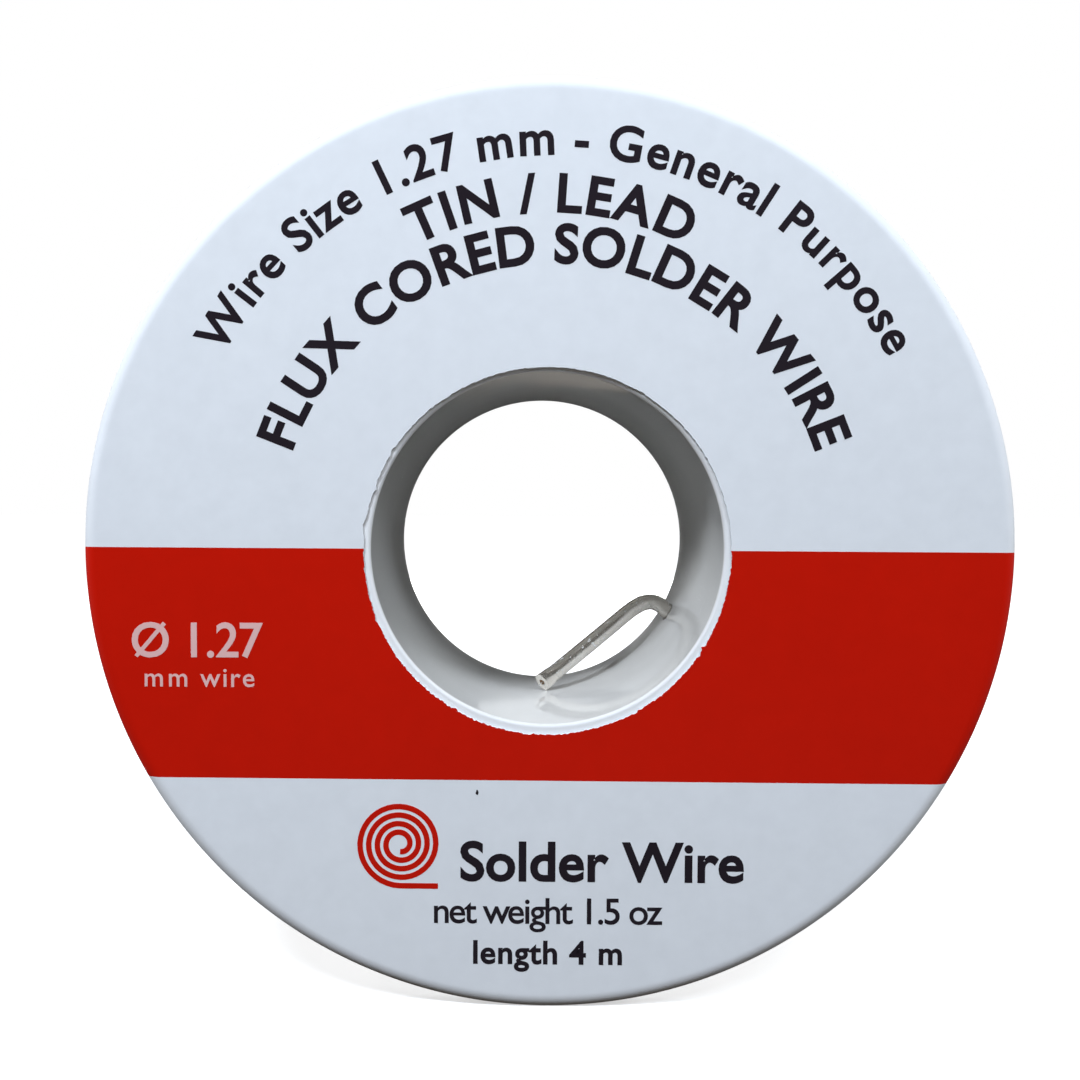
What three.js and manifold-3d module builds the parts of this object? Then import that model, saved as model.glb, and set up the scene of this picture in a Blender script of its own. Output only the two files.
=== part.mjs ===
// A solder wire spool: two round flanges on a hollow hub, with rosin-core solder wound between them.
// The start of the wire comes through a hole in the hub and lies bent over inside the bore.
//
// Frame, in millimetres: the origin is the middle of the bore. Y runs along the bore, from the labelled
// face at -Y to the bare one at +Y. The spool stands on its two rims, so +Z is up.
import * as THREE from "three";
import { mergeVertices } from "three/addons/utils/BufferGeometryUtils.js";
import Module from "manifold-3d";

const wasm = await Module();
wasm.setup();

// Driving dimensions.
const SPOOL_WIDTH = 22; // from one flange's outer face to the other's
const FLANGE_RADIUS = 31.75; // a spool of 2.5 inches
const FLANGE_THICKNESS = 1.9; // and the rim is a full round of this thickness
const ROOT_THICKNESS = 3.4; // where the flange meets the winding's first layer
const ROOT_RADIUS = 19; // where the thick root has run out into the flat web
const BORE_RADIUS = 12;
const BARREL_RADIUS = 13.6; // of the hub, under the winding
const SPIGOT_RADIUS = 13; // of the hub, inside a flange
const LIP_RADIUS = 0.25; // the rounding at each mouth of the bore
const FIT_GAP = 0.05; // between the hub and a flange
const WIRE_RADIUS = 0.635; // wire of 0.050 inch
const CORE_RADIUS = 0.2; // the rosin inside the wire
const CORE_GAP = 0.08; // between the rosin and the tube of solder round it
const WINDING_RADIUS = 18.2; // over the outermost layer
const WINDING_GAP = 0.15; // between the winding and the spool
const LABEL_THICKNESS = 0.15;
const GLUE_GAP = 0.03; // the label's adhesive
const LABEL_WRAP = THREE.MathUtils.degToRad(52); // how far the label goes round the rim
const LABEL_HOLE_RADIUS = 12.5;
const LABEL_DROP = 0.2; // the label's hole sits this much below the bore
const START_HOLE_RADIUS = 0.75;
const START_ANGLE = THREE.MathUtils.degToRad(-29.5); // round the bore from +X towards +Z
const START_DEPTH = 6.2; // along Y

// How finely the round shapes are cut.
const ROUND_STEPS = 72;
const RIM_STEPS = 8;
const LIP_STEPS = 3;
const WRAP_STEPS = 4;
const HOLE_SIDES = 20;
const WIRE_SIDES = 8;
const CORE_SIDES = 6;
const TAIL_STEPS = 22;

// The wire's start, from just under the winding, through the hub and over to the bottom of the bore.
const TAIL_POINTS = [
  [11.66, 6.2, -6.6],
  [10.4, 6.2, -5.85],
  [9.8, 6.1, -5.32],
  [9.1, 5.9, -5.05],
  [8.32, 5.6, -5.11],
  [7.55, 5.3, -5.48],
  [6.78, 5.0, -6.01],
  [5.53, 4.6, -7.0],
  [3.87, 4.1, -8.31],
  [2.22, 3.6, -9.6],
  [0.9, 3.15, -10.62],
  [-0.05, 2.8, -11.3],
].map((point) => new THREE.Vector3(...point));

const halfWidth = SPOOL_WIDTH / 2;
const rimRadius = FLANGE_THICKNESS / 2;
const rimCentre = FLANGE_RADIUS - rimRadius;
const rootFace = halfWidth - ROOT_THICKNESS;

const point = (radius, y) => new THREE.Vector2(radius, y);

// Points along an arc of a profile. An angle of 0 points away from the axis, and it grows towards +Y.
function arc(centre, radius, from, to, steps) {
  return Array.from({ length: steps + 1 }, (_, i) => {
    const angle = from + ((to - from) * i) / steps;
    return point(centre.x + radius * Math.cos(angle), centre.y + radius * Math.sin(angle));
  });
}

// A closed profile turned round the Y axis, with the middle of a facet at the bottom.
function turned(profile) {
  const phase = Math.PI / ROUND_STEPS;
  return new THREE.LatheGeometry([...profile, profile[0].clone()], ROUND_STEPS, phase, 2 * Math.PI);
}

// A closed geometry as a solid that can be cut, and the way back.
function solid(geometry) {
  const bare = geometry.clone();
  bare.deleteAttribute("normal");
  bare.deleteAttribute("uv");
  const merged = mergeVertices(bare, 1e-4);
  const mesh = new wasm.Mesh({
    numProp: 3,
    vertProperties: new Float32Array(merged.attributes.position.array),
    triVerts: new Uint32Array(merged.index.array),
  });
  return new wasm.Manifold(mesh);
}

function geometryOf(cut) {
  const mesh = cut.getMesh();
  const geometry = new THREE.BufferGeometry();
  geometry.setAttribute("position", new THREE.BufferAttribute(mesh.vertProperties, 3));
  geometry.setIndex(new THREE.BufferAttribute(mesh.triVerts, 1));
  geometry.computeVertexNormals();
  return geometry;
}

// The hub: a tube with a thicker barrel between two spigots, rounded at the mouths of the bore.
function hubGeometry() {
  const shoulder = rootFace - FIT_GAP;
  const lip = point(BORE_RADIUS + LIP_RADIUS, halfWidth - LIP_RADIUS);
  const rearLip = arc(lip, LIP_RADIUS, Math.PI / 2, Math.PI, LIP_STEPS);
  const frontLip = rearLip.map((p) => point(p.x, -p.y)).reverse();
  const tube = turned([
    ...frontLip,
    point(SPIGOT_RADIUS, -halfWidth),
    point(SPIGOT_RADIUS, -shoulder),
    point(BARREL_RADIUS, -shoulder),
    point(BARREL_RADIUS, shoulder),
    point(SPIGOT_RADIUS, shoulder),
    point(SPIGOT_RADIUS, halfWidth),
    ...rearLip,
  ]);
  return geometryOf(solid(tube).subtract(solid(startHoleGeometry())));
}

// The hole that the wire starts through, as the cylinder to be cut from the hub's wall.
function startHoleGeometry() {
  const outwards = new THREE.Vector3(Math.cos(START_ANGLE), 0, Math.sin(START_ANGLE));
  const wallMiddle = (BORE_RADIUS + BARREL_RADIUS) / 2;
  const length = 2 * BORE_RADIUS - wallMiddle;
  const drill = new THREE.CylinderGeometry(START_HOLE_RADIUS, START_HOLE_RADIUS, length, HOLE_SIDES);
  drill.applyQuaternion(new THREE.Quaternion().setFromUnitVectors(new THREE.Vector3(0, 1, 0), outwards));
  return drill.translate(wallMiddle * outwards.x, START_DEPTH, wallMiddle * outwards.z);
}

// A flange with its outer face at y = 0 and the winding's side towards +Y.
function flangeGeometry() {
  const bore = SPIGOT_RADIUS + FIT_GAP;
  return turned([
    point(bore, 0),
    ...arc(point(rimCentre, rimRadius), rimRadius, -Math.PI / 2, Math.PI / 2, RIM_STEPS),
    point(ROOT_RADIUS, FLANGE_THICKNESS),
    point(BARREL_RADIUS, ROOT_THICKNESS),
    point(bore, ROOT_THICKNESS),
  ]);
}

// The label: a thin disc on the front flange that follows the rim round, with its hole a little low.
function labelGeometry() {
  const rim = point(rimCentre, rimRadius - halfWidth);
  const from = -Math.PI / 2;
  const back = arc(rim, rimRadius + GLUE_GAP, from, from + LABEL_WRAP, WRAP_STEPS);
  const front = arc(rim, rimRadius + GLUE_GAP + LABEL_THICKNESS, from, from + LABEL_WRAP, WRAP_STEPS);
  const disc = turned([
    point(BORE_RADIUS, front[0].y),
    ...front,
    ...back.reverse(),
    point(BORE_RADIUS, back.at(-1).y),
  ]);
  const punch = new THREE.CylinderGeometry(
    LABEL_HOLE_RADIUS,
    LABEL_HOLE_RADIUS,
    2 * FLANGE_THICKNESS,
    ROUND_STEPS,
  );
  punch.translate(0, -halfWidth, -LABEL_DROP);
  return geometryOf(solid(disc).subtract(solid(punch)));
}

// The outer shape of the wound solder, which fills the space between the flanges' roots.
function windingGeometry() {
  const inner = BARREL_RADIUS + WINDING_GAP;
  const slope = (ROOT_THICKNESS - FLANGE_THICKNESS) / (ROOT_RADIUS - BARREL_RADIUS);
  const sideAt = (radius) => rootFace + slope * (radius - BARREL_RADIUS) - WINDING_GAP;
  return turned([
    point(inner, -sideAt(inner)),
    point(WINDING_RADIUS, -sideAt(WINDING_RADIUS)),
    point(WINDING_RADIUS, sideAt(WINDING_RADIUS)),
    point(inner, sideAt(inner)),
  ]);
}

function ringOfPoints(radius, sides) {
  return Array.from({ length: sides }, (_, i) => {
    const angle = (2 * Math.PI * i) / sides;
    return point(radius * Math.cos(angle), radius * Math.sin(angle));
  });
}

// The wire's start: solder round a hollow that its rosin core fills.
function tailGeometry() {
  const section = new THREE.Shape(ringOfPoints(WIRE_RADIUS, WIRE_SIDES));
  section.holes.push(new THREE.Path(ringOfPoints(CORE_RADIUS + CORE_GAP, CORE_SIDES)));
  return alongTail(section);
}

function coreGeometry() {
  return alongTail(new THREE.Shape(ringOfPoints(CORE_RADIUS, CORE_SIDES)));
}

function alongTail(section) {
  const extrudePath = new THREE.CatmullRomCurve3(TAIL_POINTS);
  return new THREE.ExtrudeGeometry(section, { steps: TAIL_STEPS, bevelEnabled: false, extrudePath });
}

const materials = {
  spool: new THREE.MeshStandardMaterial({ color: 0xc9cdcc, roughness: 0.25, metalness: 0 }),
  label: new THREE.MeshStandardMaterial({ color: 0xdfe6ee, roughness: 0.4, metalness: 0 }),
  solder: new THREE.MeshStandardMaterial({ color: 0xb9b9b6, roughness: 0.3, metalness: 1 }),
  rosin: new THREE.MeshStandardMaterial({ color: 0x9c7a45, roughness: 0.35, metalness: 0 }),
};

function named(name, geometry, material) {
  const mesh = new THREE.Mesh(geometry, material);
  mesh.name = name;
  return mesh;
}

const frontFlange = named("front_flange", flangeGeometry(), materials.spool);
frontFlange.position.y = -halfWidth;

const rearFlange = named("rear_flange", flangeGeometry(), materials.spool);
rearFlange.rotation.x = Math.PI;
rearFlange.position.y = halfWidth;

const spool = new THREE.Group();
spool.add(
  frontFlange,
  rearFlange,
  named("hub", hubGeometry(), materials.spool),
  named("front_label", labelGeometry(), materials.label),
  named("solder_winding", windingGeometry(), materials.solder),
  named("solder_tail", tailGeometry(), materials.solder),
  named("rosin_core", coreGeometry(), materials.rosin),
);

export default spool;
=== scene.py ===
"""A spool of solder wire, standing on its rims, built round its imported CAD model.

Frame, in metres: the origin is the middle of the bore. Y runs along the bore, from the labelled face at -Y
to the bare one at +Y, and +Z is up. The wire's start comes through the hub and lies bent over in the bore.
"""

import math

import bmesh
import bpy
from mathutils import Matrix, Vector, noise


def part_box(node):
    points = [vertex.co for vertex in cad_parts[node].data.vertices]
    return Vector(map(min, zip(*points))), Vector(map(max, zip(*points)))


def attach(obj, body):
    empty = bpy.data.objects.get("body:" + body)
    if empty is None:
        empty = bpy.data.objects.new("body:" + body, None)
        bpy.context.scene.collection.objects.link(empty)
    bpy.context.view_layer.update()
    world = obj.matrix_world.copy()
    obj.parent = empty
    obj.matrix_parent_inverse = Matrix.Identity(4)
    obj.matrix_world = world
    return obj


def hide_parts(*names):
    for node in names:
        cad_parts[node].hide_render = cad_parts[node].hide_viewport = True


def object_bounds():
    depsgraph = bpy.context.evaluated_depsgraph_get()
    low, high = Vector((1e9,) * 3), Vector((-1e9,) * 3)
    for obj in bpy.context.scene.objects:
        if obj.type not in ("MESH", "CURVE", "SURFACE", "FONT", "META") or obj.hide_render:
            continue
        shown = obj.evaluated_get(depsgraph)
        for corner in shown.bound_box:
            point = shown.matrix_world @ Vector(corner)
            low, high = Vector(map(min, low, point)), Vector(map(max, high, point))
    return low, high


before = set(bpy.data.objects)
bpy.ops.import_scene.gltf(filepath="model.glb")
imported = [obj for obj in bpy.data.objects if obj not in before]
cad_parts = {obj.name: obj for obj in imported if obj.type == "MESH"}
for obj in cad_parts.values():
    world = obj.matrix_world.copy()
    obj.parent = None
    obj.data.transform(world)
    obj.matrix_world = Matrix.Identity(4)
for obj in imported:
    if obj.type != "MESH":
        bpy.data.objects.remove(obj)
cad_low, cad_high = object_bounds()

MM = 0.001
TAU = 2 * math.pi

# Taken from the CAD model.
FRONT_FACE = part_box("front_flange")[0].y
REAR_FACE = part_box("rear_flange")[1].y
ROOT_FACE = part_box("rear_flange")[0].y  # the winding's room at the hub, each way along Y
FLANGE_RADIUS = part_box("front_flange")[1].x
BARREL_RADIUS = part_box("hub")[1].x
LABEL_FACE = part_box("front_label")[0].y

# The CAD model's other driving dimensions.
FLANGE_THICKNESS = 1.9 * MM
ROOT_RADIUS = 19 * MM  # where the flange's thick root has run out into its flat web
BORE_RADIUS = 12 * MM
SPIGOT_RADIUS = 13 * MM
LIP_RADIUS = 0.25 * MM
FIT_GAP = 0.05 * MM
LABEL_THICKNESS = 0.15 * MM
LABEL_WRAP = math.radians(52)
LABEL_HOLE_RADIUS = 12.5 * MM
LABEL_DROP = 0.2 * MM
START_HOLE_RADIUS = 0.75 * MM
START_ANGLE = math.radians(-29.5)  # round the bore from +X towards +Z
START_DEPTH = 6.2 * MM
WIRE_RADIUS = 0.635 * MM
CORE_RADIUS = 0.2 * MM
TAIL_POINTS = [
    Vector(point) * MM
    for point in (
        (11.66, 6.2, -6.6),
        (10.4, 6.2, -5.85),
        (9.8, 6.1, -5.32),
        (9.1, 5.9, -5.05),
        (8.32, 5.6, -5.11),
        (7.55, 5.3, -5.48),
        (6.78, 5.0, -6.01),
        (5.53, 4.6, -7.0),
        (3.87, 4.1, -8.31),
        (2.22, 3.6, -9.6),
        (0.9, 3.15, -10.62),
        (-0.05, 2.8, -11.3),
    )
]

# The winding.
WIRE_LENGTH = 4.1  # 42.5 g is 4.0 m of solid wire, or 4.4 m with a core of this size
PITCH = 2.03 * WIRE_RADIUS  # from one turn to the next
LAYER_STEP = 1.735 * WIRE_RADIUS  # a layer lies in the grooves of the one below
LAYERS = 4
CROSSING = math.radians(40)  # the part of a turn in which it steps sideways
HUMP_RAMP = math.radians(18)  # before and after the crossing, where the upper layers rise over the lower
SIDE_GAP = 0.05 * MM
TURN_STEPS = 48
END_LIFT = 0.9 * MM  # how far the cut outer end springs off the winding
LIFT_STEPS = 5

# The wire's cut ends.
TIP_FACING = Vector((-0.45, -0.8, -0.4)).normalized()  # which way the cut at the tip faces
TIP_CRUSH = 0.4  # how much the cutters flattened the tip
CRUSH_SPREAD = 0.6  # how much wider the wire gets, as a share of how much flatter
TIP_ROUGHNESS = 0.3  # the depth of the dents at the tip, as a share of the radius
CRUSH_STEPS = 7  # the sections that the crushing reaches
WIRE_UNEVENNESS = 0.006
DENTS = 1.7  # how close together the dents are
CUT_RISE = 0.04 * MM  # the middle of a cut face stands this proud of its edge
CUT_RISE_RADIUS = 0.6 * WIRE_RADIUS
CUT_EDGE_RADIUS = 0.93 * WIRE_RADIUS
CORE_ROOM = 1.15  # the core's hollow against the core
CORE_STEPS = 9  # the sections that the core is made for, at each cut end
PIT_DEPTH = 0.12 * MM  # the rosin ends this far inside the cut, and its domed middle less far
DOME_DEPTH = 0.6 * PIT_DEPTH
DOME_RADIUS = 0.55 * CORE_RADIUS

# How finely the round shapes are cut.
ROUND_STEPS = 256
ARC_STEPS = 8
TAIL_SPAN_STEPS = 6  # between two points of the wire's start
WIRE_SIDES = 16
HOLE_SIDES = 40
LABEL_STEPS = 1440
LABEL_SHARES = (0, 0.004, 0.05, 0.35, 0.7, 0.99, 1)  # rings on the label's face, from its hole to the rim
WRAP_STEPS = 8
LETTER_STEPS = 5
SIGN_STEPS = 40  # for each turn of the spiral
SPECK_SIDES = 9
SHARP_EDGE = math.radians(35)
SAME_PLACE = 1e-7  # points nearer than this are one
FINE_ROUNDING = 0.06 * MM  # on edges that are otherwise square
ROOT_ROUNDING = 2 * MM  # where the flange's root runs out into its web

# The label's print, in its plane: x to the right and z up from the bore's axis.
PRINT_THICKNESS = 0.012 * MM
PRINT_GAP = 0.002 * MM
BAND_TOP = -0.05 * MM
BAND_BOTTOM = -15.86 * MM
BAND_SLOPE = -0.0029  # the label is stuck on very slightly turned
CAPITAL_SHARE = 0.682  # a capital's height, as a share of the font's size
PRINTED_SIDE = 0.3  # a label's face looks outwards by at least this where it takes ink
SIGN_START = 0.18  # the radius that the spiral starts at, as a share of its own
SIGN_TAIL = 0.9  # its straight end, as a share of its radius
SPECK_ROUGHNESS = 0.5
TORN_FIBRES = ((9, 0.03), (35, 0.05), (80, 0.07))  # how close round the hole, and how deep in mm
TORN_INWARDS = 0.03  # in mm: the torn edge lies this much inside the punch
LABEL_NICKS = [  # place round the hole in degrees, width in degrees, and depth in mm
    (-31.5, 0.5, -0.14),
    (-34, 1.0, 0.08),
    (172, 2.2, 0.16),
    (160, 1.1, -0.14),
    (147, 0.8, 0.13),
    (-158, 0.9, 0.1),
    (-120, 0.7, -0.12),
    (-96, 1.2, 0.08),
    (-61, 0.8, 0.12),
]

# The camera.
CAMERA_PLACE = Vector((-1.687, -87.675, 3.035)) * MM
CAMERA_PITCH = math.radians(-2.33)
CAMERA_YAW = math.radians(-0.89)
CAMERA_ROLL = math.radians(0.169)
CAMERA_SENSOR = 36  # wide, in mm, as the lens is
CAMERA_LENS = 37.63
CAMERA_SHIFT = (0.0327, 0.0093)

# The stage.
FLOOR_SIZE = 3.0
FLOOR_GLOW = 0.55  # under the spool; it grows to 1 between the two distances below
FLOOR_GLOW_REACH = (0.05, 0.3)
CARD_PLACE = 0.5  # along Y, behind the spool
CARD_GAP = 10 * MM  # from the window and the table to the wall behind them
ROOM_LIGHT = 0.025
ROOM_COLOUR = (1.0, 0.95, 0.88)
STUDIO_GLOSS = 0.6  # the strength of what gloss shows, before the falls below
STUDIO_BACK = (0.3, 0.65)  # along the gloss's direction in Y, where it falls to the room's light
STUDIO_FRONT = (-0.8, -0.3, 0.15)  # from and to along Y, and the share that is left at the front
STUDIO_GROUND = (-0.3, 0.3, 0.25)  # from and to along Z, and the share that is left below
COOL_GLOW = (0.95, 0.98, 1.0)
WARM_GLOW = (1.0, 0.88, 0.75)
LIGHTS = [  # name, place, size, power in watts, colour
    ("key", (-0.095, -0.18, 0.21), 0.06, 0.72, (0.83, 0.9, 1.0)),
    ("fill", (0.13, -0.22, 0.27), 0.15, 0.75, (0.85, 0.92, 1.0)),
    ("desk", (0.05, -0.25, -0.2), 0.3, 0.07, (1.0, 0.78, 0.6)),
    ("behind", (0, 0.45, 0.02), 0.05, 1.0, (0.97, 0.98, 1.0)),
    ("side", (-0.5, 0.02, 0.15), 0.1, 1.2, (0.95, 0.97, 1.0)),
    ("side", (0.5, 0.02, 0.15), 0.1, 1.2, (0.95, 0.97, 1.0)),
]

# What the materials share.
PLASTIC_IOR = 1.57
PAPER_IOR = 1.45
PAPER_SPECULAR = 0.3
PLASTIC_DEPTH = 0.6 * MM  # how far light spreads inside the plastic


# ---- The camera ----


def add_camera():
    """A close, slightly raised camera that looks along the bore."""
    data = bpy.data.cameras.new("camera")
    data.sensor_width = CAMERA_SENSOR
    data.lens = CAMERA_LENS
    data.shift_x, data.shift_y = CAMERA_SHIFT
    data.clip_start = 1 * MM
    flat = math.cos(CAMERA_PITCH)
    forward = Vector((math.sin(CAMERA_YAW) * flat, math.cos(CAMERA_YAW) * flat, math.sin(CAMERA_PITCH)))
    level = Vector((math.cos(CAMERA_YAW), -math.sin(CAMERA_YAW), 0))
    right = Matrix.Rotation(-CAMERA_ROLL, 3, forward) @ level
    up = right.cross(forward)
    facing = Matrix((right, up, -forward)).transposed().to_4x4()
    camera = bpy.data.objects.new("camera", data)
    camera.matrix_world = Matrix.Translation(CAMERA_PLACE) @ facing
    bpy.context.scene.collection.objects.link(camera)
    bpy.context.scene.camera = camera


# ---- Shapes ----


def ease(t):
    """0 before 0, 1 after 1, and a smooth step between them."""
    t = min(max(t, 0), 1)
    return t * t * (3 - 2 * t)


def round_axis(radius, y, angle):
    """A point at a radius from the bore's axis. The angle goes from +X towards +Z."""
    return Vector((radius * math.cos(angle), y, radius * math.sin(angle)))


def add_piece(name, mesh, materials, replaces=()):
    """A mesh as a piece of the spool, riding on its one body."""
    for material in materials:
        mesh.materials.append(material)
    piece = bpy.data.objects.new(name, mesh)
    bpy.context.scene.collection.objects.link(piece)
    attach(piece, "root")
    if replaces:
        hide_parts(*replaces)
    return piece


def bridge(bm, rings, loop):
    """Rings of points joined into one closed body: the last to the first, or with a fan over each end."""
    sides = len(rings[0])
    rows = [[bm.verts.new(p) for p in ring] for ring in rings]
    pairs = list(zip(rows, rows[1:]))
    if loop:
        pairs.append((rows[-1], rows[0]))
    for a, b in pairs:
        for i in range(sides):
            j = (i + 1) % sides
            bm.faces.new((a[i], a[j], b[j], b[i]))
    if not loop:
        for row in (rows[0], rows[-1]):
            middle = bm.verts.new(sum((v.co for v in row), Vector()) / sides)
            for i in range(sides):
                bm.faces.new((row[i], row[(i + 1) % sides], middle))


def finished(name, bm):
    """A bmesh as a smooth mesh with its faces outwards and its edges kept sharp."""
    bmesh.ops.recalc_face_normals(bm, faces=bm.faces)
    mesh = bpy.data.meshes.new(name)
    bm.to_mesh(mesh)
    bm.free()
    mesh.shade_smooth()
    mesh.set_sharp_from_angle(angle=SHARP_EDGE)
    return mesh


def rounded(corners):
    """A closed outline of (radius, y, rounding) corners as points, with each corner turned on its arc."""
    lead = 0.04 * MM  # a short flat beside each arc keeps the shading of the flats flat
    points = []
    for i, (radius, y, rounding) in enumerate(corners):
        here = Vector((radius, y))
        before = (Vector(corners[i - 1][:2]) - here).normalized()
        after = (Vector(corners[(i + 1) % len(corners)][:2]) - here).normalized()
        half = before.angle(after) / 2
        reach = rounding / math.tan(half)
        centre = here + (before + after).normalized() * (rounding / math.sin(half))
        start = here + before * reach - centre
        turn = start.angle_signed(here + after * reach - centre)
        points.append(centre + start + before * lead)
        points += [centre + Matrix.Rotation(-turn * k / ARC_STEPS, 2) @ start for k in range(ARC_STEPS + 1)]
        points.append(here + after * (reach + lead))
    return points


def turned(name, outline):
    """An outline of (radius, y) points turned round the bore's axis."""
    bm = bmesh.new()
    around = [TAU * i / ROUND_STEPS for i in range(ROUND_STEPS)]
    bridge(bm, [[round_axis(radius, y, angle) for angle in around] for radius, y in outline], loop=True)
    return finished(name, bm)


# ---- The wire ----


def smooth_line(points, steps):
    """A Catmull-Rom curve through the points."""
    ends = [2 * points[0] - points[1], *points, 2 * points[-1] - points[-2]]
    line = []
    for a, b, c, d in zip(ends, ends[1:], ends[2:], ends[3:]):
        for i in range(steps):
            t = i / steps
            bend = (2 * a - 5 * b + 4 * c - d) * t**2 + (3 * b - a - 3 * c + d) * t**3
            line.append((2 * b + (c - a) * t + bend) / 2)
    return [*line, points[-1]]


def layer_radius(layer):
    """The radius of a layer's centreline."""
    return BARREL_RADIUS + WIRE_RADIUS + layer * LAYER_STEP


def side_room(layer):
    """How far along Y, each way, a layer's wire can lie from the middle, between the flanges' roots."""
    slope = (REAR_FACE - FLANGE_THICKNESS - ROOT_FACE) / (ROOT_RADIUS - BARREL_RADIUS)
    at_wire = ROOT_FACE + slope * (layer_radius(layer) - BARREL_RADIUS)
    return at_wire - WIRE_RADIUS * math.hypot(1, slope) - SIDE_GAP


def turn_places():
    """Each turn's place along Y and its layer, in winding order: to the front first, then back and forth."""
    places = []
    y, direction = START_DEPTH, -1
    for layer in range(LAYERS):
        while abs(y) <= side_room(layer):
            places.append((y, layer))
            y += direction * PITCH
        last = places[-1][0]
        y = last + direction * PITCH / 2
        if abs(y) > side_room(layer + 1):
            y = last - direction * PITCH / 2
        direction = -direction
    return places


def wound_point(places, start, turned_by):
    """The wire's centre after it has been wound round by that angle."""
    turn, part = divmod(turned_by, TAU)
    (y, layer), (next_y, next_layer) = places[int(turn) : int(turn) + 2]
    crossed = ease((part - (TAU - CROSSING)) / CROSSING)
    rising = ease((part - (TAU - CROSSING - HUMP_RAMP)) / HUMP_RAMP)
    hump = max(rising, 1 - ease(part / HUMP_RAMP))
    layer += (next_layer - layer) * crossed
    radius = layer_radius(layer) + layer * (2 * WIRE_RADIUS - LAYER_STEP) * hump
    return round_axis(radius, y + (next_y - y) * crossed, start - turned_by)


def length_of(line):
    """The length of a line of points."""
    return sum((b - a).length for a, b in zip(line, line[1:]))


def wire_line():
    """The whole wire's centreline, from its tip in the bore to its outer end on the winding."""
    line = smooth_line(TAIL_POINTS, TAIL_SPAN_STEPS)[::-1]
    inner = math.hypot(line[-1].x, line[-1].z)
    bend = layer_radius(0) - inner
    for k in range(1, ARC_STEPS + 1):
        angle = math.pi / 2 * k / ARC_STEPS
        back = bend * (1 - math.cos(angle)) / layer_radius(0)
        line.append(round_axis(inner + bend * math.sin(angle), START_DEPTH, START_ANGLE - back))
    places = turn_places()
    start = START_ANGLE - bend / layer_radius(0)
    left = WIRE_LENGTH - length_of(line)
    turned_by = 0
    while left > 0:
        turned_by += TAU / TURN_STEPS
        line.append(wound_point(places, start, turned_by))
        left -= (line[-1] - line[-2]).length
    for k in range(LIFT_STEPS):
        out = Vector((line[-1 - k].x, 0, line[-1 - k].z)).normalized()
        line[-1 - k] = line[-1 - k] + out * END_LIFT * (1 - k / LIFT_STEPS) ** 2
    return line


def sections(line):
    """Each point of a line with two directions across it, carried along without twisting."""
    found = []
    across = Vector((0, 1, 0))
    for i, place in enumerate(line):
        along = (line[min(i + 1, len(line) - 1)] - line[max(i - 1, 0)]).normalized()
        across = (across - along * across.dot(along)).normalized()
        found.append((place, across, along.cross(across)))
    return found


def ring_at(section, radius, squeeze=0.0, rough=0.0):
    """A ring of points round one section. A squeeze flattens it, and roughness dents it."""
    place, across, other = section
    ring = []
    for i in range(WIRE_SIDES):
        angle = TAU * i / WIRE_SIDES
        dent = noise.noise(Vector((math.cos(angle), math.sin(angle), place.length / MM)) * DENTS)
        thin = across * (math.cos(angle) * (1 - squeeze))
        wide = other * (math.sin(angle) * (1 + squeeze * CRUSH_SPREAD))
        ring.append(place + (wide + thin) * radius * (1 + rough * dent))
    return ring


def slanted(ring, centre, along, facing, share=1.0):
    """A ring moved along the wire onto the plane of a slanting cut, by a share of the way."""
    return [p - along * ((p - centre).dot(facing) / along.dot(facing) * share) for p in ring]


def cut_rings(parts, facing, squeeze):
    """The rings of one cut end, whose sections start at the cut: the core's hollow, then the cut face."""
    tip = parts[0][0]
    along = (tip - parts[1][0]).normalized()
    hollow = [ring_at(part, CORE_RADIUS * CORE_ROOM) for part in parts[CORE_STEPS:0:-1]]
    mouth = ring_at(parts[0], CORE_RADIUS * CORE_ROOM, squeeze)
    face = ring_at(parts[0], CUT_RISE_RADIUS, squeeze, TIP_ROUGHNESS)
    edge = ring_at(parts[0], CUT_EDGE_RADIUS, squeeze, TIP_ROUGHNESS)
    return [
        *hollow,
        slanted(mouth, tip, along, facing),
        slanted(face, tip + facing * CUT_RISE, along, facing),
        slanted(edge, tip, along, facing),
    ]


def wire_mesh(line):
    """The solder as one tube, crushed where it was cut, with a hollow for the rosin at each end."""
    parts = sections(line)
    far_facing = (line[-1] - line[-2]).normalized()
    start = cut_rings(parts, TIP_FACING, TIP_CRUSH)
    end = cut_rings(parts[::-1], far_facing, 0.0)
    along = (line[0] - line[1]).normalized()
    outside = []
    for i, part in enumerate(parts):
        near = max(0, 1 - (i + 1) / CRUSH_STEPS)
        ring = ring_at(part, WIRE_RADIUS, TIP_CRUSH * near, TIP_ROUGHNESS * near + WIRE_UNEVENNESS)
        outside.append(slanted(ring, part[0], along, TIP_FACING, near))
    bm = bmesh.new()
    bridge(bm, [*start, *outside, *end[::-1]], loop=False)
    return finished("solder_wire", bm)


def rosin_mesh(line):
    """The rosin in each cut end, ending a little inside the cut."""
    bm = bmesh.new()
    for end in (line, line[::-1]):
        parts = sections(end[: CORE_STEPS + 1])
        along = (end[0] - end[1]).normalized()
        rings = [ring_at(part, CORE_RADIUS) for part in parts[CORE_STEPS - 1 : 0 : -1]]
        rings.append([p - along * PIT_DEPTH for p in ring_at(parts[0], CORE_RADIUS)])
        rings.append([p - along * DOME_DEPTH for p in ring_at(parts[0], DOME_RADIUS)])
        bridge(bm, rings, loop=False)
    return finished("rosin_in_wire", bm)


def add_wire():
    """The one wire, from its tip in the bore to its end on the winding, and the rosin in its cut ends."""
    line = wire_line()
    metal = solder()
    wire = add_piece("solder_wire", wire_mesh(line), [metal], ["solder_winding", "solder_tail"])
    rosin = add_piece("rosin_in_wire", rosin_mesh(line), [amber()], ["rosin_core"])
    add_lengthwise(wire.data, line)


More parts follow.
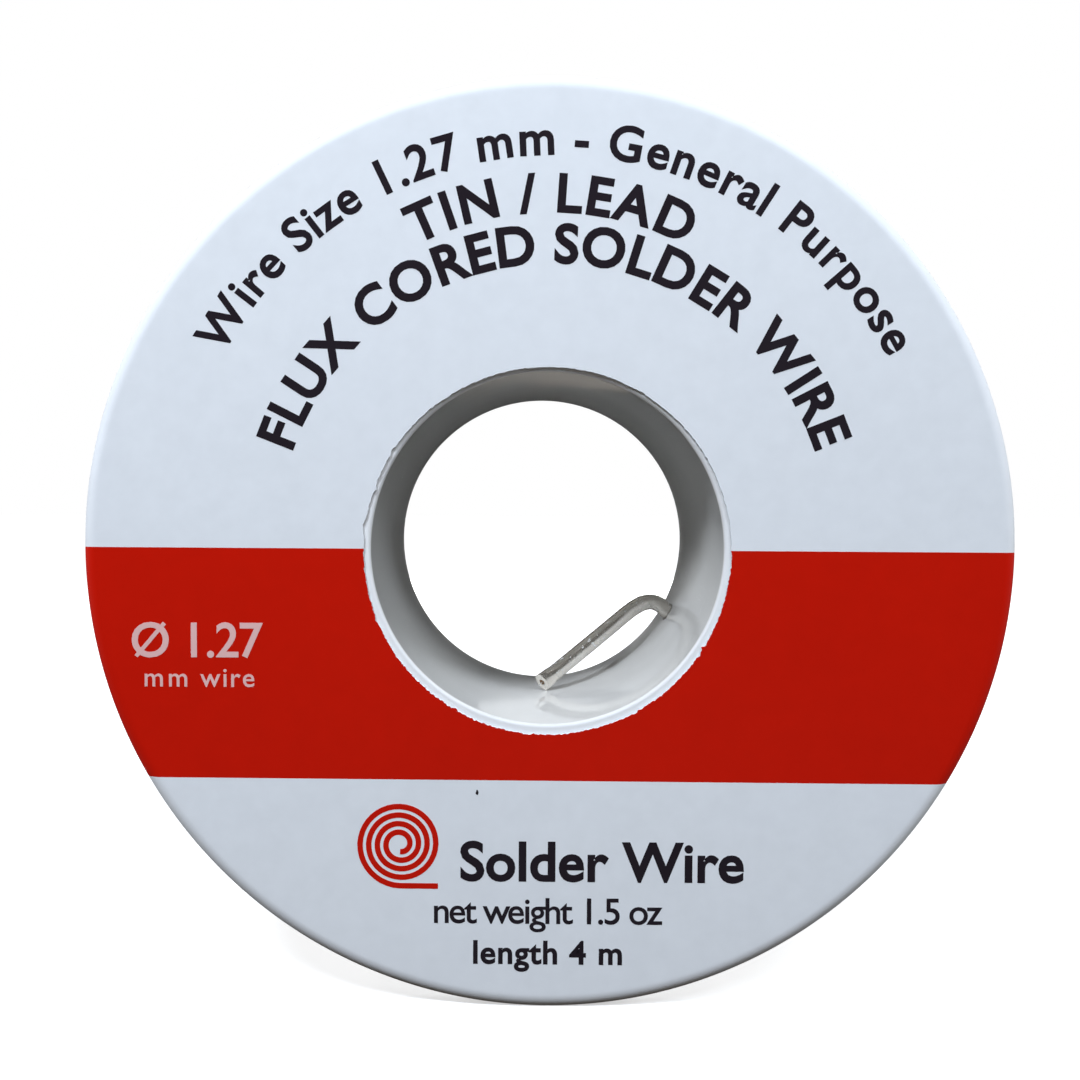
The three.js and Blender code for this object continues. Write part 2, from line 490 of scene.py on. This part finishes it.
def add_lengthwise(mesh, line):
    """A coordinate for the wire's drawing marks: round the wire in x and y, and along it in z."""
    places = []
    run = 0
    for before, here in zip([line[0], *line], line):
        run += (here - before).length
        places.append(run)
    lengthwise = mesh.attributes.new("lengthwise", "FLOAT_VECTOR", "POINT")
    last_on_ring = len(mesh.vertices) - 3  # the two points after it are the middles of the end fans
    cut_end_rings = ((last_on_ring + 1) // WIRE_SIDES - len(line)) // 2
    for i, value in enumerate(lengthwise.data):
        ring, side = divmod(min(i, last_on_ring), WIRE_SIDES)
        step = min(max(ring - cut_end_rings, 0), len(line) - 1)
        angle = TAU * side / WIRE_SIDES
        value.vector = (math.cos(angle) * WIRE_RADIUS, math.sin(angle) * WIRE_RADIUS, places[step])


# ---- The spool ----


def flange_outline():
    """The front flange: a flat web with a fully round rim, thickening towards the hub."""
    inside = FRONT_FACE + FLANGE_THICKNESS
    bore = SPIGOT_RADIUS + FIT_GAP
    rim = FLANGE_THICKNESS / 2 - FINE_ROUNDING
    return rounded(
        [
            (bore, FRONT_FACE, FINE_ROUNDING),
            (FLANGE_RADIUS, FRONT_FACE, rim),
            (FLANGE_RADIUS, inside, rim),
            (ROOT_RADIUS, inside, ROOT_ROUNDING),
            (BARREL_RADIUS, -ROOT_FACE, FINE_ROUNDING),
            (bore, -ROOT_FACE, FINE_ROUNDING),
        ]
    )


def add_flanges():
    """The two flanges, each the other's mirror image."""
    outline = flange_outline()
    plastic = polystyrene("flange_plastic")
    for end, mirror in (("front", 1), ("rear", -1)):
        name = f"{end}_flange_moulding"
        mesh = turned(name, [(radius, y * mirror) for radius, y in outline])
        add_piece(name, mesh, [plastic], [f"{end}_flange"])


def hub_outline():
    """A tube with rounded mouths and a thicker barrel between the flanges."""
    shoulder = ROOT_FACE - FIT_GAP
    front = [
        (BORE_RADIUS, FRONT_FACE, LIP_RADIUS),
        (SPIGOT_RADIUS, FRONT_FACE, FINE_ROUNDING),
        (SPIGOT_RADIUS, -shoulder, FINE_ROUNDING),
        (BARREL_RADIUS, -shoulder, FINE_ROUNDING),
    ]
    return rounded([*front, *((radius, -y, rounding) for radius, y, rounding in front[::-1])])


def start_hole():
    """The round hole that the wire starts through, as the plug to cut from the hub's wall."""
    outwards = round_axis(1, 0, START_ANGLE)
    across = outwards.cross(Vector((0, 1, 0)))
    middle = outwards * BORE_RADIUS + Vector((0, START_DEPTH, 0))
    reach = 3 * MM
    rings = []
    for along in (-reach, reach):
        rings.append(
            [
                middle
                + outwards * along
                + across * (START_HOLE_RADIUS * math.cos(TAU * i / HOLE_SIDES))
                + Vector((0, START_HOLE_RADIUS * math.sin(TAU * i / HOLE_SIDES), 0))
                for i in range(HOLE_SIDES)
            ]
        )
    bm = bmesh.new()
    bridge(bm, rings, loop=False)
    return finished("start_hole", bm)


def cut_from(mesh, tool):
    """The mesh with the tool's shape cut out of it."""
    body = bpy.data.objects.new("body", mesh)
    cutter = bpy.data.objects.new("cutter", tool)
    for helper in (body, cutter):
        bpy.context.scene.collection.objects.link(helper)
    cut = body.modifiers.new("cut", "BOOLEAN")
    cut.operation = "DIFFERENCE"
    cut.solver = "EXACT"
    cut.object = cutter
    bpy.context.view_layer.update()
    result = bpy.data.meshes.new_from_object(body.evaluated_get(bpy.context.evaluated_depsgraph_get()))
    for helper in (body, cutter):
        bpy.data.objects.remove(helper)
    result.shade_smooth()
    result.set_sharp_from_angle(angle=SHARP_EDGE)
    return result


def add_hub():
    """The hub, with a lighter, bluish plastic where its mouth is on the labelled side: painted light,
    standing in for the light that falls on the mouth's lip.
    """
    mesh = cut_from(turned("hub_moulding", hub_outline()), start_hole())
    # painted light: the faces at the mouth on the labelled side take a lighter, bluish copy of the plastic,
    # so the lit lip looks brighter
    for face in mesh.polygons:
        face.material_index = int(face.center.y < FRONT_FACE + LIP_RADIUS / 2)
    painted_lit_mouth = polystyrene("hub_mouth_painted_light", (0.87, 0.885, 0.9), (0.9, 0.91, 0.925))
    add_piece("hub_moulding", mesh, [polystyrene("hub_plastic"), painted_lit_mouth], ["hub"])


# ---- The label ----


def ragged_hole(angle):
    """The radius of the label's punched hole round its own centre, with torn fibres and a few nicks."""
    spot = Vector((math.cos(angle), math.sin(angle), 0))
    torn = sum(noise.noise(spot * closeness) * depth for closeness, depth in TORN_FIBRES)
    for nick, width, depth in LABEL_NICKS:
        apart = (angle - math.radians(nick) + math.pi) % TAU - math.pi
        torn += depth * math.exp(-((math.degrees(apart) / width) ** 2))
    return LABEL_HOLE_RADIUS + (torn - TORN_INWARDS) * MM


def label_rings():
    """Rings over the label's printed face, round the rim, and back under it."""
    around = [TAU * i / LABEL_STEPS for i in range(LABEL_STEPS)]
    hole = []
    for angle in around:
        point = round_axis(ragged_hole(angle), 0, angle)
        hole.append(Vector((point.x, 0, point.z - LABEL_DROP)))
    rim = FLANGE_THICKNESS / 2
    centre = FLANGE_RADIUS - rim
    back_y = LABEL_FACE + LABEL_THICKNESS

    def flat_ring(share, y):
        wide = [round_axis(centre, y, angle) for angle in around]
        inner = [Vector((p.x, y, p.z)) for p in hole]
        return [a + (b - a) * share for a, b in zip(inner, wide)]

    def wrapped_ring(turn, outside):
        radius = centre + (rim + outside) * math.sin(turn)
        y = FRONT_FACE + rim - (rim + outside) * math.cos(turn)
        return [round_axis(radius, y, angle) for angle in around]

    front_gap = FRONT_FACE - LABEL_FACE
    back_gap = front_gap - LABEL_THICKNESS
    turns = [LABEL_WRAP * k / WRAP_STEPS for k in range(1, WRAP_STEPS + 1)]
    face = [flat_ring(share, LABEL_FACE) for share in LABEL_SHARES]
    over_rim = [wrapped_ring(turn, front_gap) for turn in turns]
    under_rim = [wrapped_ring(turn, back_gap) for turn in turns[::-1]]
    back = [flat_ring(share, back_y) for share in (1, 0)]
    return [*face, *over_rim, *under_rim, *back]


def label_mesh():
    """The label, with its faces inside the band given the second material."""
    bm = bmesh.new()
    bridge(bm, label_rings(), loop=True)
    across = Vector((-BAND_SLOPE, 0, 1)).normalized()
    for height in (BAND_TOP, BAND_BOTTOM):
        everything = [*bm.verts, *bm.edges, *bm.faces]
        bmesh.ops.bisect_plane(
            bm, geom=everything, dist=SAME_PLACE, plane_co=(0, 0, height), plane_no=across
        )
    bmesh.ops.recalc_face_normals(bm, faces=bm.faces)
    for face in bm.faces:
        middle = face.calc_center_median()
        height = middle.z - BAND_SLOPE * middle.x
        outside = face.normal.dot(Vector((middle.x, 0, middle.z)).normalized()) - face.normal.y
        if BAND_BOTTOM < height < BAND_TOP and outside > PRINTED_SIDE:
            face.material_index = 1
    return finished("label_sheet", bm)


def letters(body, capital, weight):
    """Raised lettering that reads along x with its capitals up y, as a bmesh."""
    curve = bpy.data.curves.new("lettering", "FONT")
    curve.body = body
    curve.size = capital / CAPITAL_SHARE
    curve.offset = weight * curve.size
    curve.extrude = PRINT_THICKNESS / 2
    curve.resolution_u = LETTER_STEPS
    holder = bpy.data.objects.new("lettering", curve)
    bpy.context.scene.collection.objects.link(holder)
    bpy.context.view_layer.update()
    mesh = bpy.data.meshes.new_from_object(holder.evaluated_get(bpy.context.evaluated_depsgraph_get()))
    bpy.data.objects.remove(holder)
    bm = bmesh.new()
    bm.from_mesh(mesh)
    bmesh.ops.remove_doubles(bm, verts=bm.verts, dist=SAME_PLACE)
    bpy.data.meshes.remove(mesh)
    return bm


def islands(bm):
    """The separate bodies of a bmesh, as lists of points."""
    seen = set()
    found = []
    for first in bm.verts:
        if first in seen:
            continue
        seen.add(first)
        island = [first]
        for vertex in island:
            for edge in vertex.link_edges:
                other = edge.other_vert(vertex)
                if other not in seen:
                    seen.add(other)
                    island.append(other)
        found.append(island)
    return found


def printed(bm, place, width):
    """Sets out letters over a width, each kept whole, and lays them on the label's face.
    place(along, across, up) gives x and z in the label's plane, for a point of a letter centred at along."""
    left = min(v.co.x for v in bm.verts)
    stretch = width / (max(v.co.x for v in bm.verts) - left)
    for island in islands(bm):
        sides = [v.co.x for v in island]
        middle = (min(sides) + max(sides)) / 2
        along = (middle - left) * stretch - width / 2
        for vertex in island:
            x, z = place(along, vertex.co.x - middle, vertex.co.y)
            vertex.co = (x, LABEL_FACE - PRINT_GAP - PRINT_THICKNESS / 2 - vertex.co.z, z)
    return bm


def arc_line(body, capital, weight, radius, centre, span):
    """Lettering on an arc about a centre in the label's plane, over a span of angle."""

    def place(along, across, up):
        angle = along / radius
        x = centre[0] + (radius + up) * math.sin(angle) + across * math.cos(angle)
        z = centre[1] + (radius + up) * math.cos(angle) - across * math.sin(angle)
        return x, z

    return printed(letters(body, capital, weight), place, span * radius)


def straight_line(body, capital, weight, left, right, base):
    """Lettering on a straight line, between two places along x."""

    def place(along, across, up):
        return (left + right) / 2 + along + across, base + up

    return printed(letters(body, capital, weight), place, right - left)


def coil_sign(centre, radius, turns, thickness):
    """A flat spiral with a short straight end, the sign for a coil of wire."""
    steps = SIGN_STEPS * turns
    line = []
    for i in range(steps + 1):
        share = i / steps
        angle = TAU * turns * share - math.pi / 2
        reach = radius * (SIGN_START + (1 - SIGN_START) * share)
        line.append((centre[0] + reach * math.cos(angle), centre[1] + reach * math.sin(angle)))
    line.append((line[-1][0] + radius * SIGN_TAIL, line[-1][1]))
    near = LABEL_FACE - PRINT_GAP
    rings = []
    for i, (x, z) in enumerate(line):
        before, after = line[max(i - 1, 0)], line[min(i + 1, len(line) - 1)]
        along = Vector((after[0] - before[0], after[1] - before[1])).normalized() * thickness / 2
        corners = ((1, near), (1, near - PRINT_THICKNESS), (-1, near - PRINT_THICKNESS), (-1, near))
        rings.append([Vector((x - along.y * side, y, z + along.x * side)) for side, y in corners])
    bm = bmesh.new()
    bridge(bm, rings, loop=False)
    return bm


def speck(x, z, width, height, seed):
    """A tiny flat fleck of irregular outline on the label."""
    near = LABEL_FACE - PRINT_GAP
    outline = []
    for i in range(SPECK_SIDES):
        angle = TAU * i / SPECK_SIDES
        reach = 1 + SPECK_ROUGHNESS * noise.noise(Vector((math.cos(angle), math.sin(angle), seed)))
        outline.append((x + width / 2 * reach * math.cos(angle), z + height / 2 * reach * math.sin(angle)))
    rings = [[Vector((px, y, pz)) for px, pz in outline] for y in (near, near - PRINT_THICKNESS)]
    bm = bmesh.new()
    bridge(bm, rings, loop=False)
    return bm


def joined(name, parts):
    """Several bmeshes as one mesh."""
    whole = bmesh.new()
    for bm in parts:
        mesh = bpy.data.meshes.new("part")
        bm.to_mesh(mesh)
        bm.free()
        whole.from_mesh(mesh)
        bpy.data.meshes.remove(mesh)
    return finished(name, whole)


def black_lines():
    """The black wording, and one dark speck."""
    return [
        arc_line(
            "Wire Size 1.27 mm - General Purpose",
            capital=2.25 * MM,
            weight=0.022,
            radius=25.42 * MM,
            centre=(0.37 * MM, 0.99 * MM),
            span=math.radians(124),
        ),
        arc_line(
            "TIN / LEAD",
            capital=2.42 * MM,
            weight=0.03,
            radius=19.85 * MM,
            centre=(0.12 * MM, 2.8 * MM),
            span=math.radians(55),
        ),
        arc_line(
            "FLUX CORED SOLDER WIRE",
            capital=2.48 * MM,
            weight=0.03,
            radius=18.72 * MM,
            centre=(0.37 * MM, 0.54 * MM),
            span=math.radians(142),
        ),
        straight_line(
            "Solder Wire",
            capital=2.6 * MM,
            weight=0.024,
            left=-5.88 * MM,
            right=13.57 * MM,
            base=-22.75 * MM,
        ),
        straight_line(
            "net weight 1.5 oz",
            capital=1.75 * MM,
            weight=0.009,
            left=-7.6 * MM,
            right=7.94 * MM,
            base=-25.75 * MM,
        ),
        straight_line(
            "length 4 m",
            capital=1.55 * MM,
            weight=0.024,
            left=-4.98 * MM,
            right=5.33 * MM,
            base=-28.55 * MM,
        ),
        speck(x=-4.71 * MM, z=-16.68 * MM, width=0.2 * MM, height=0.36 * MM, seed=1),
    ]


def pale_lines():
    """The wire's size, on the band."""
    return [
        straight_line(
            "\u00d8 1.27",
            capital=2.3 * MM,
            weight=0.012,
            left=-28.3 * MM,
            right=-19.4 * MM,
            base=-7.45 * MM,
        ),
        straight_line(
            "mm wire",
            capital=1.28 * MM,
            weight=0.008,
            left=-27.6 * MM,
            right=-19.9 * MM,
            base=-9.5 * MM,
        ),
    ]


def add_label():
    """The label and its print, which is one piece for each ink."""
    add_piece("label_sheet", label_mesh(), [paper(), red_ink("band_ink")], ["front_label"])
    black = black_lines()
    add_piece("label_print_black", joined("label_print_black", black), [black_ink()])
    pale = pale_lines()
    add_piece("label_print_pale", joined("label_print_pale", pale), [pale_ink()])
    sign = coil_sign(centre=(-10 * MM, -20.3 * MM), radius=2.9 * MM, turns=4, thickness=0.38 * MM)
    add_piece("label_print_red", joined("label_print_red", [sign]), [red_ink("sign_ink")])


# ---- Materials ----


class Look:
    """A material's nodes, with short calls to add and join them."""

    def __init__(self, name):
        self.material = bpy.data.materials.new(name)
        self.material.use_nodes = True
        self.nodes = self.material.node_tree.nodes
        self.links = self.material.node_tree.links
        self.shader = self.nodes["Principled BSDF"]
        self.place = self.nodes.new("ShaderNodeTexCoord").outputs["Object"]

    def join(self, source, target):
        self.links.new(source, target)

    def scaled(self, source, scale):
        """A coordinate stretched by a scale along each axis."""
        mapping = self.nodes.new("ShaderNodeMapping")
        mapping.inputs["Scale"].default_value = scale
        self.join(source, mapping.inputs["Vector"])
        return mapping.outputs["Vector"]

    def noise(self, size, detail=3.0, source=None, stretch=(1, 1, 1), distortion=0.0):
        """Noise whose features are about size metres, optionally stretched along an axis."""
        texture = self.nodes.new("ShaderNodeTexNoise")
        texture.inputs["Scale"].default_value = 1 / size
        texture.inputs["Detail"].default_value = detail
        texture.inputs["Distortion"].default_value = distortion
        self.join(self.scaled(source or self.place, stretch), texture.inputs["Vector"])
        return texture.outputs["Fac"]

    def ramp(self, source, stops):
        """A colour ramp; each stop is a place and a grey or a colour."""
        ramp = self.nodes.new("ShaderNodeValToRGB")
        elements = ramp.color_ramp.elements
        while len(elements) < len(stops):
            elements.new(0.5)
        for element, (place, colour) in zip(elements, stops):
            element.position = place
            element.color = (*((colour,) * 3 if isinstance(colour, float) else colour), 1)
        self.join(source, ramp.inputs["Fac"])
        return ramp.outputs["Color"]

    def mix(self, factor, first, second, blend="MIX"):
        """Two colours mixed; each value is a number, a colour or a socket."""
        mixer = self.nodes.new("ShaderNodeMix")
        mixer.data_type = "RGBA"
        mixer.blend_type = blend
        for name, value in (("Factor", factor), ("A", first), ("B", second)):
            socket = mixer.inputs[name]
            if isinstance(value, float):
                socket.default_value = value
            elif isinstance(value, tuple):
                socket.default_value = (*value, 1)
            else:
                self.join(value, socket)
        return mixer.outputs["Result"]

    def specks(self, size, share, radius):
        """Small round dots in a few of the cells of a grid of that size."""
        cells = self.nodes.new("ShaderNodeTexVoronoi")
        cells.inputs["Scale"].default_value = 1 / size
        self.join(self.place, cells.inputs["Vector"])
        near = self.ramp(cells.outputs["Distance"], [(radius * 0.6, 1.0), (radius, 0.0)])
        chosen = self.ramp(cells.outputs["Color"], [(share, 1.0), (share + 0.02, 0.0)])
        return self.mix(1.0, near, chosen, "MULTIPLY")

    def bump(self, layers):
        """Bumps on each other: pairs of a height source and its depth in metres."""
        normal = None
        for source, depth in layers:
            bump = self.nodes.new("ShaderNodeBump")
            bump.inputs["Strength"].default_value = 1
            bump.inputs["Distance"].default_value = depth
            self.join(source, bump.inputs["Height"])
            if normal:
                self.join(normal, bump.inputs["Normal"])
            normal = bump.outputs["Normal"]
        self.join(normal, self.shader.inputs["Normal"])


def polystyrene(name, darkest=(0.82, 0.81, 0.785), lightest=(0.86, 0.85, 0.825)):
    """Glossy pale grey moulded plastic, with flow marks, fine scratches and dust."""
    look = Look(name)
    flow = look.noise(9 * MM, 3, distortion=1.2)
    dust = look.specks(1.6 * MM, 0.06, 0.05)
    colour = look.ramp(flow, [(0.3, darkest), (0.7, lightest)])
    along = look.noise(2.4 * MM, 2, stretch=(1, 0.12, 1), distortion=2.5)
    scratch_a = look.ramp(along, [(0.494, 0.0), (0.5, 1.0), (0.506, 0.0)])
    around = look.noise(3.1 * MM, 2, stretch=(0.15, 1, 0.3), distortion=3.0)
    scratch_b = look.ramp(around, [(0.496, 0.0), (0.5, 1.0), (0.504, 0.0)])
    everywhere = look.mix(1.0, scratch_a, scratch_b, "ADD")
    worn = look.ramp(look.noise(5 * MM, 2), [(0.55, 0.0), (0.62, 0.5)])
    scratches = look.mix(1.0, everywhere, worn, "MULTIPLY")
    marks = look.mix(1.0, dust, scratches, "ADD")
    look.join(look.mix(marks, colour, (0.93, 0.93, 0.92)), look.shader.inputs["Base Color"])
    smudge = look.ramp(look.noise(3 * MM, 4), [(0.35, 0.03), (0.7, 0.075)])
    rough = look.mix(scratches, smudge, (0.3, 0.3, 0.3))
    look.join(rough, look.shader.inputs["Roughness"])
    look.bump([(look.noise(8 * MM, 1), 0.005 * MM), (scratches, -0.0006 * MM), (dust, 0.01 * MM)])
    look.shader.inputs["IOR"].default_value = PLASTIC_IOR
    look.shader.inputs["Subsurface Weight"].default_value = 0.08
    look.shader.inputs["Subsurface Radius"].default_value = (PLASTIC_DEPTH, PLASTIC_DEPTH, PLASTIC_DEPTH)
    return look.material


def label_finish(name, colour, rubbed):
    """What the paper and its inks share: faint mottling, rub marks and a satin coat over paper fibres."""
    look = Look(name)
    mottle = look.noise(1.3 * MM, 5)
    cloudy = look.noise(8 * MM, 2)
    darker = tuple(c * 0.975 for c in colour)
    lighter = tuple(c * 1.015 for c in colour)
    base = look.ramp(mottle, [(0.3, darker), (0.7, lighter)])
    tinted = look.mix(look.ramp(cloudy, [(0.35, 0.0), (0.75, 0.2)]), base, rubbed)
    look.join(tinted, look.shader.inputs["Base Color"])
    rough = look.ramp(look.noise(2.5 * MM, 4), [(0.3, 0.34), (0.75, 0.47)])
    look.join(rough, look.shader.inputs["Roughness"])
    look.bump([(look.noise(6 * MM, 2), 0.02 * MM), (look.noise(0.16 * MM, 3), 0.0016 * MM)])
    look.shader.inputs["IOR"].default_value = PAPER_IOR
    look.shader.inputs["Specular IOR Level"].default_value = PAPER_SPECULAR
    return look.material


def paper():
    return label_finish("label_paper", (0.82, 0.85, 0.885), rubbed=(0.79, 0.825, 0.87))


def red_ink(name):
    return label_finish(name, (0.6, 0.009, 0.0022), rubbed=(0.52, 0.007, 0.002))


def black_ink():
    return label_finish("black_ink", (0.018, 0.013, 0.018), rubbed=(0.035, 0.03, 0.036))


def pale_ink():
    return label_finish("pale_ink", (0.82, 0.52, 0.5), rubbed=(0.7, 0.36, 0.33))


def solder():
    """Drawn tin-lead wire: bright, with lines along it, dull oxide patches and a few nicks."""
    look = Look("solder_metal")
    attribute = look.nodes.new("ShaderNodeAttribute")
    attribute.attribute_name = "lengthwise"
    lengthwise = attribute.outputs["Vector"]
    drawn = look.noise(0.1 * MM, 3, source=lengthwise, stretch=(1, 1, 0.02))
    patches = look.noise(0.9 * MM, 5, source=lengthwise, stretch=(1, 1, 0.5))
    hits = look.noise(0.45 * MM, 3, source=lengthwise, distortion=1.0)
    nicks = look.ramp(hits, [(0.65, 0.0), (0.67, 1.0)])
    colour = look.ramp(patches, [(0.35, (0.74, 0.7, 0.64)), (0.65, (0.86, 0.825, 0.77))])
    look.join(look.mix(nicks, colour, (0.86, 0.86, 0.84)), look.shader.inputs["Base Color"])
    rough = look.ramp(patches, [(0.3, 0.2), (0.7, 0.3)])
    look.join(rough, look.shader.inputs["Roughness"])
    look.bump([(drawn, 0.002 * MM), (patches, 0.002 * MM), (nicks, -0.02 * MM)])
    look.join(look.mix(nicks, (0.92, 0.92, 0.92), (0.2, 0.2, 0.2)), look.shader.inputs["Metallic"])
    return look.material


def amber():
    """Rosin: hard, clear brown resin with a slightly uneven face."""
    look = Look("rosin_resin")
    cloud = look.noise(0.2 * MM, 3)
    colour = look.ramp(cloud, [(0.3, (0.2, 0.1, 0.03)), (0.7, (0.36, 0.2, 0.07))])
    look.join(colour, look.shader.inputs["Base Color"])
    look.join(look.ramp(cloud, [(0.3, 0.22), (0.7, 0.4)]), look.shader.inputs["Roughness"])
    look.bump([(cloud, 0.01 * MM)])
    return look.material


def set_range(node, start, end, low, high):
    """What a Map Range node maps from, and to."""
    for socket, value in zip(("From Min", "From Max", "To Min", "To Max"), (start, end, low, high)):
        node.inputs[socket].default_value = value


# ---- The stage ----


def add_floor():
    """A plain white floor under the rims."""
    bm = bmesh.new()
    bmesh.ops.create_grid(bm, x_segments=8, y_segments=8, size=FLOOR_SIZE)
    floor = bpy.data.objects.new("floor", finished("floor", bm))
    floor.location.z = cad_low[2]
    look = Look("floor_white")
    look.join(look.ramp(look.noise(30 * MM), [(0.3, 0.92), (0.7, 0.95)]), look.shader.inputs["Base Color"])
    look.shader.inputs["Roughness"].default_value = 0.8
    look.shader.inputs["Emission Color"].default_value = (1, 1, 1, 1)
    far = look.nodes.new("ShaderNodeVectorMath")
    far.operation = "LENGTH"
    look.join(look.place, far.inputs[0])
    near_end, far_end = FLOOR_GLOW_REACH
    glow = look.ramp(far.outputs["Value"], [(near_end, FLOOR_GLOW), (far_end, 1.0)])
    look.join(glow, look.shader.inputs["Emission Strength"])
    floor.data.materials.append(look.material)
    floor.visible_diffuse = False
    floor.visible_glossy = False
    bpy.context.scene.collection.objects.link(floor)


def add_world():
    """White for the camera, a studio with dark ends and ground for gloss, and a dim room for other light."""
    world = bpy.data.worlds.new("studio")
    world.use_nodes = True
    nodes, links = world.node_tree.nodes, world.node_tree.links

    def background(colour, strength):
        shader = nodes.new("ShaderNodeBackground")
        shader.inputs["Color"].default_value = (*colour, 1)
        shader.inputs["Strength"].default_value = strength
        return shader

    def mixed(factor, first, second):
        mixer = nodes.new("ShaderNodeMixShader")
        links.new(factor, mixer.inputs["Fac"])
        links.new(first.outputs[0], mixer.inputs[1])
        links.new(second.outputs[0], mixer.inputs[2])
        return mixer

    def ranged(source, start, end, low, high):
        scale = nodes.new("ShaderNodeMapRange")
        set_range(scale, start, end, low, high)
        links.new(source, scale.inputs["Value"])
        return scale.outputs["Result"]

    path = nodes.new("ShaderNodeLightPath")
    split = nodes.new("ShaderNodeSeparateXYZ")
    links.new(nodes.new("ShaderNodeTexCoord").outputs["Generated"], split.inputs[0])
    strength = ranged(split.outputs["Y"], *STUDIO_BACK, STUDIO_GLOSS, ROOM_LIGHT)
    for direction, fall in (("Y", STUDIO_FRONT), ("Z", STUDIO_GROUND)):
        share = ranged(split.outputs[direction], *fall, 1.0)
        product = nodes.new("ShaderNodeMath")
        product.operation = "MULTIPLY"
        links.new(strength, product.inputs[0])
        links.new(share, product.inputs[1])
        strength = product.outputs["Value"]
    studio = background(ROOM_COLOUR, STUDIO_GLOSS)
    links.new(strength, studio.inputs["Strength"])
    unseen = mixed(path.outputs["Is Glossy Ray"], background(ROOM_COLOUR, ROOM_LIGHT), studio)
    seen = mixed(path.outputs["Is Camera Ray"], unseen, background((1, 1, 1), 1))
    links.new(seen.outputs[0], nodes["World Output"].inputs["Surface"])
    bpy.context.scene.world = world


def add_light(name, place, size, power, colour):
    """A square soft light that faces the spool."""
    data = bpy.data.lights.new(name, "AREA")
    data.shape = "SQUARE"
    data.size = size
    data.energy = power
    data.color = colour
    light = bpy.data.objects.new(name, data)
    light.location = place
    light.rotation_euler = (-Vector(place)).to_track_quat("-Z", "Y").to_euler()
    light.visible_camera = False
    light.visible_glossy = False  # the cards are what the gloss shows
    bpy.context.scene.collection.objects.link(light)


def add_card(name, glow, colour, behind, corners, fades=()):
    """A glowing card behind the spool, which only the spool's gloss shows. Its corners are in millimetres to
    the right of the bore's axis and above it. Each fade names a direction, and says in millimetres where the
    glow is full and where it has gone."""
    bm = bmesh.new()
    bm.faces.new([bm.verts.new((x * MM, behind, z * MM)) for x, z in corners])
    card = bpy.data.objects.new(name, finished(name, bm))
    look = Look(name)
    look.shader.inputs["Base Color"].default_value = (0, 0, 0, 1)
    look.shader.inputs["Specular IOR Level"].default_value = 0
    look.shader.inputs["Emission Strength"].default_value = glow
    look.shader.inputs["Emission Color"].default_value = (*colour, 1)
    tint = colour
    for direction, full, gone in fades:
        split = look.nodes.new("ShaderNodeSeparateXYZ")
        fading = look.nodes.new("ShaderNodeMapRange")
        look.join(look.place, split.inputs[0])
        look.join(split.outputs[direction], fading.inputs["Value"])
        set_range(fading, full * MM, gone * MM, 1, 0)
        tint = look.mix(fading.outputs["Result"], (0.0, 0.0, 0.0), tint)
        look.join(tint, look.shader.inputs["Emission Color"])
    card.data.materials.append(look.material)
    card.visible_camera = False
    card.visible_diffuse = False
    card.visible_shadow = False
    bpy.context.scene.collection.objects.link(card)


def add_cards():
    """A window above, a wall behind it that reaches far to the left, and a table below."""
    window = [(48, 65), (10, 74.5), (-34, 84), (-60, 200), (60, 200)]
    wall_edge = [(-66, -30), (-67, -17), (-63, 26), (-36, 63), (9, 67), (46, 46)]
    wall = [(-200, -60), *wall_edge, (90, 75), (-200, 75)]
    table = [(24, -39), (10, -41), (-9, -58), (-9, -200), (40, -200)]
    wall_fades = (("X", -10, 38), ("Z", 5, -40))
    add_card("card_window", 0.62, COOL_GLOW, CARD_PLACE, window)
    add_card("card_wall", 0.36, COOL_GLOW, CARD_PLACE + CARD_GAP, wall, wall_fades)
    add_card("card_table", 0.22, WARM_GLOW, CARD_PLACE, table)


def add_lights():
    """Daylight from the front and above, a warm desk below, and soft light from behind and both sides."""
    for light in LIGHTS:
        add_light(*light)


add_camera()
add_wire()
add_flanges()
add_hub()
add_label()
add_floor()
add_cards()
add_world()
add_lights()
bpy.context.scene.view_settings.view_transform = "Standard"
